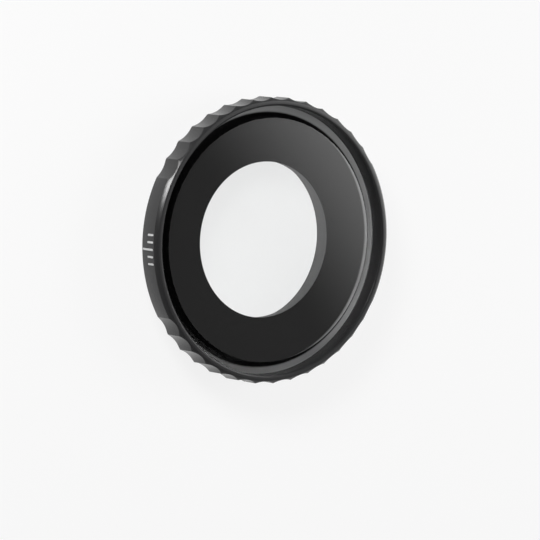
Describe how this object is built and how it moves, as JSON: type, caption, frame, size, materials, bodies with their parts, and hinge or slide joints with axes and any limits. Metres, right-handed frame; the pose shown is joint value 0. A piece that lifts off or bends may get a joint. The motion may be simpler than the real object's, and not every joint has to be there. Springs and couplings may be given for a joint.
{
  "type": "action camera filter",
  "caption": "Round twist-on filter: a scalloped black grip ring round a bevelled cover glass with a black mask, a stepped bore and a lugged barrel.",
  "frame": {"origin": "on the optical axis, at the rear face of the barrel that the filter rests on", "axes": "+Z along the optical axis towards the front glass; -Y towards the middle of the index sector of the grip"},
  "size_m": [0.042, 0.042, 0.0077],
  "materials": {
    "black_anodised": "satin black anodised",
    "cover_glass": "polished",
    "mask": "black",
    "adhesive": "matt",
    "baffle": "matt black",
    "barrel": "fine matt",
    "seal": "matt"
  },
  "bodies": {
    "root": {"grip_ring": "black_anodised", "cover_glass": "cover_glass", "mask_ring": "mask", "bond_ring": "adhesive", "light_baffle": "baffle", "mount_ring": "barrel", "body_seal": "seal"}
  },
  "joints": []
}
